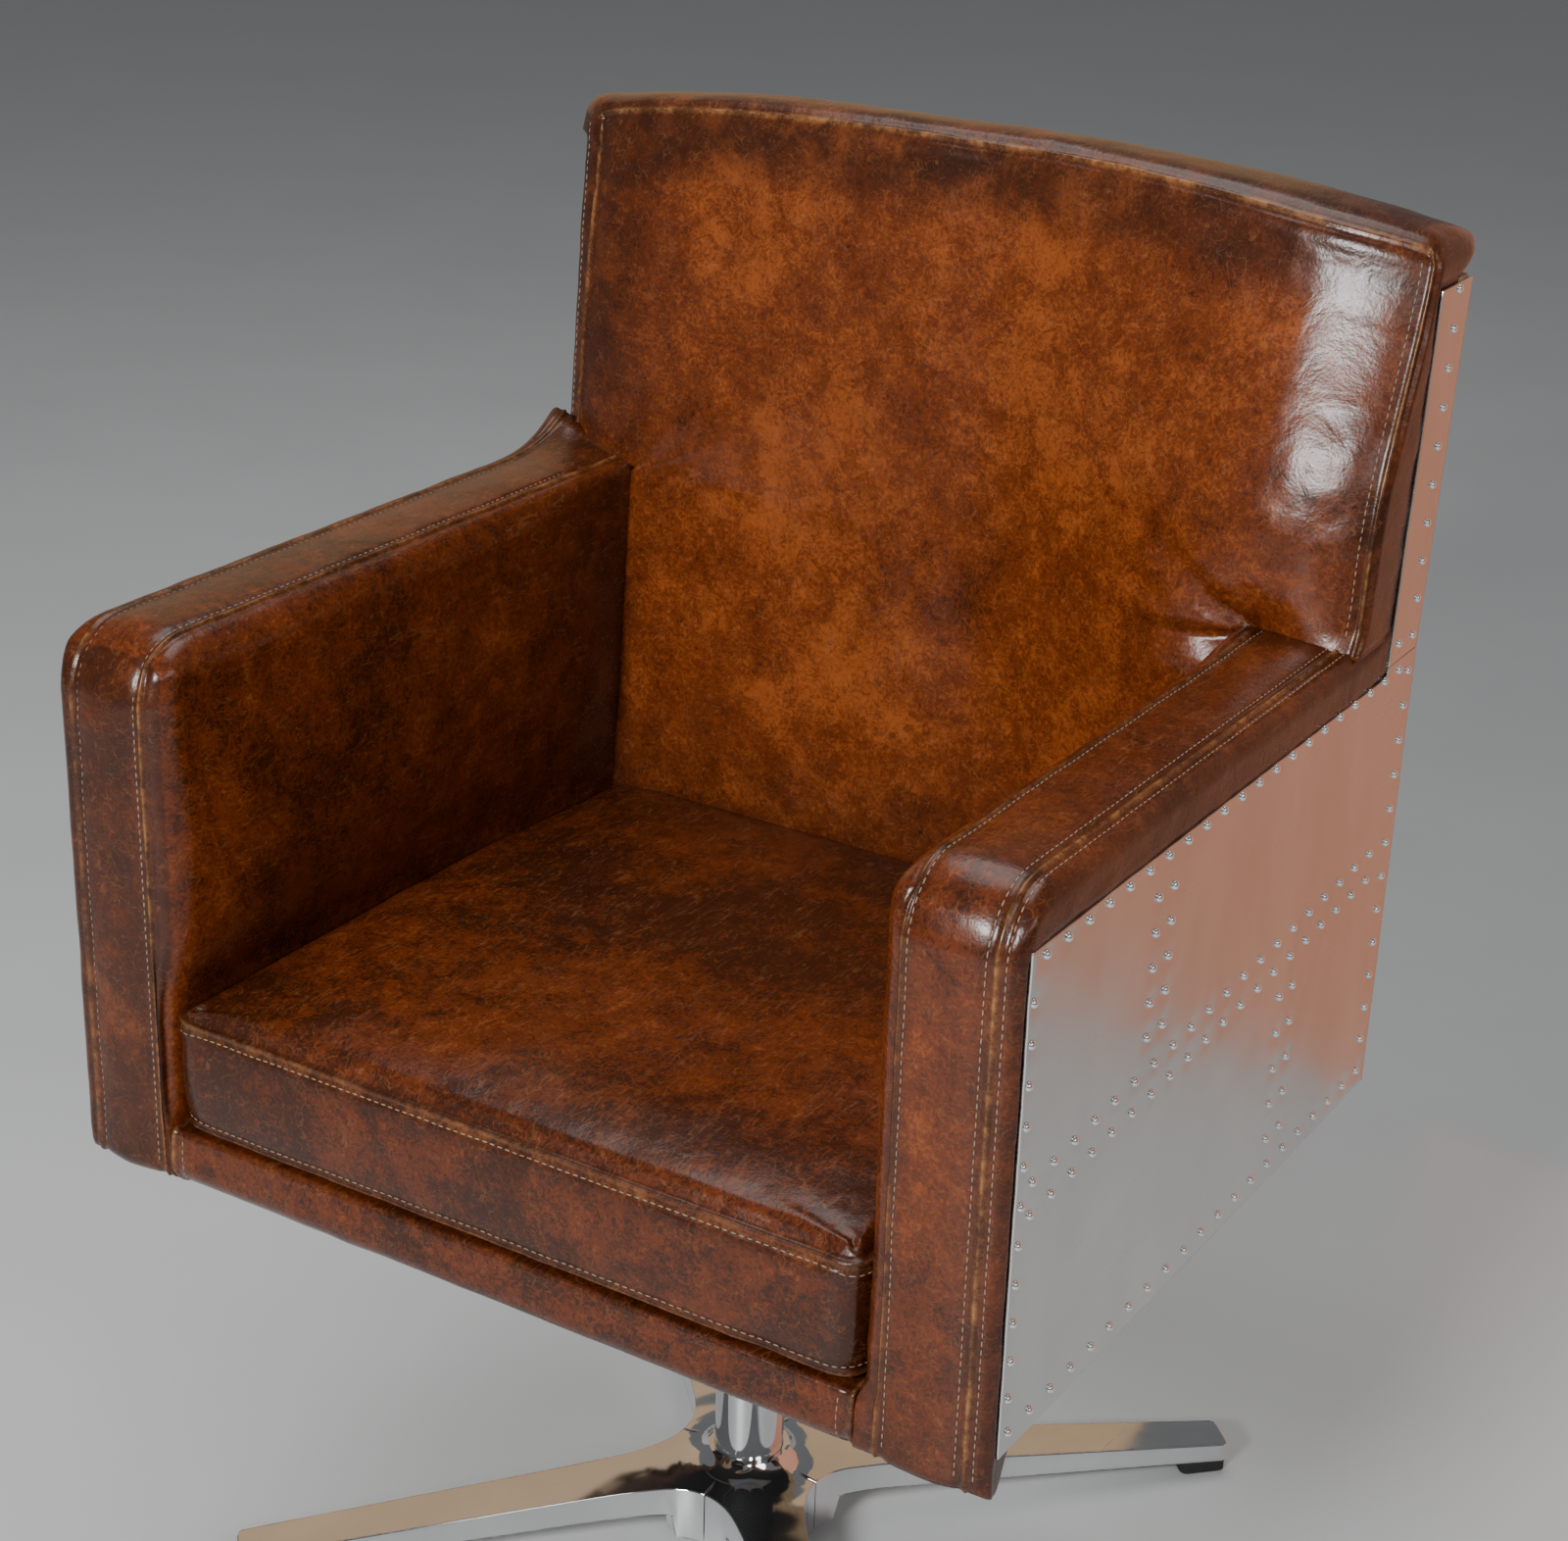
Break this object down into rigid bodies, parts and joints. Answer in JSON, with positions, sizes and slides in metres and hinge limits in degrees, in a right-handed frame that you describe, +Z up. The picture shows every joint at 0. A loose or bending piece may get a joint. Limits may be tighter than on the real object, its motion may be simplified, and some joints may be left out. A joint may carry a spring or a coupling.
{
  "type": "swivel office chair",
  "caption": "Low square tub office chair with padded arms, back and boxed seat cushion, riveted sheet sides, turning and rising on a gas column over a flat star base.",
  "frame": {"origin": "on the floor under the centre of the column, which is also the centre of the bounding box's footprint", "axes": "+Z up, the sitter faces -Y; left (-X) and right (+X) in the node names are as seen from in front, and the height lever is on the -X side, under the sitter's right hand"},
  "size_m": [0.69, 0.602, 0.985],
  "materials": {
    "brown_leather": "waxed, semi-gloss, mottled",
    "aluminium_sheet": "satin sheet with rivets",
    "chromed_steel": "polished",
    "plain_steel": "plain",
    "plywood": "raw board",
    "black_rubber": "matt",
    "black_plastic": "matt",
    "black_cloth": "dust cover"
  },
  "bodies": {
    "base": {"star_base": "chromed_steel", "glide_1": "black_rubber", "glide_2": "black_rubber", "glide_3": "black_rubber", "glide_4": "black_rubber", "glide_screw_1": "plain_steel", "glide_screw_2": "plain_steel", "glide_screw_3": "plain_steel", "glide_screw_4": "plain_steel", "column_tube": "chromed_steel", "column_bush": "black_plastic", "thrust_bearing": "plain_steel"},
    "spindle": {"piston_rod": "plain_steel", "retaining_clip": "plain_steel"},
    "tub": {"gas_cylinder": "plain_steel", "seat_plate": "plain_steel", "plate_bolt_1": "plain_steel", "plate_bolt_2": "plain_steel", "plate_bolt_3": "plain_steel", "plate_bolt_4": "plain_steel", "lever_pin": "plain_steel", "seat_deck": "plywood", "front_rail_board": "plywood", "rear_rail_board": "plywood", "bottom_cover": "black_cloth", "arm_board_left": "plywood", "arm_board_right": "plywood", "back_board": "plywood", "arm_upholstery_left": "brown_leather", "arm_upholstery_right": "brown_leather", "back_upholstery": "brown_leather", "front_rail_upholstery": "brown_leather", "seat_cushion": "brown_leather", "side_panel_left": "aluminium_sheet", "side_panel_right": "aluminium_sheet", "side_strip_left": "aluminium_sheet", "side_strip_right": "aluminium_sheet", "back_panel_lower": "aluminium_sheet", "back_panel_upper": "aluminium_sheet"},
    "lever": {"height_lever": "plain_steel", "lever_grip": "black_plastic"},
    "button": {"release_button": "plain_steel"}
  },
  "joints": [
    {"name": "seat_swivel", "type": "hinge", "parent": "base", "child": "spindle", "pos_m": [0, 0, 0.0375], "axis": [0, 0, 1], "continuous": true},
    {"name": "seat_height", "type": "slide", "parent": "spindle", "child": "tub", "axis": [0, 0, 1], "range_m": [0, 0.09]},
    {"name": "lever_lift", "type": "hinge", "parent": "tub", "child": "lever", "pos_m": [-0.0192, 0, 0.3417], "axis": [0, 1, 0], "range_deg": [0, 4], "stiffness_Nm_per_rad": 4, "springref_deg": -2.86},
    {"name": "button_press", "type": "slide", "parent": "tub", "child": "button", "axis": [0, 0, 1], "range_m": [-0.0016, 0]}
  ],
  "couplings": [
    {"joint": "button_press", "follows": "lever_lift", "m_per_rad": -0.0222}
  ]
}
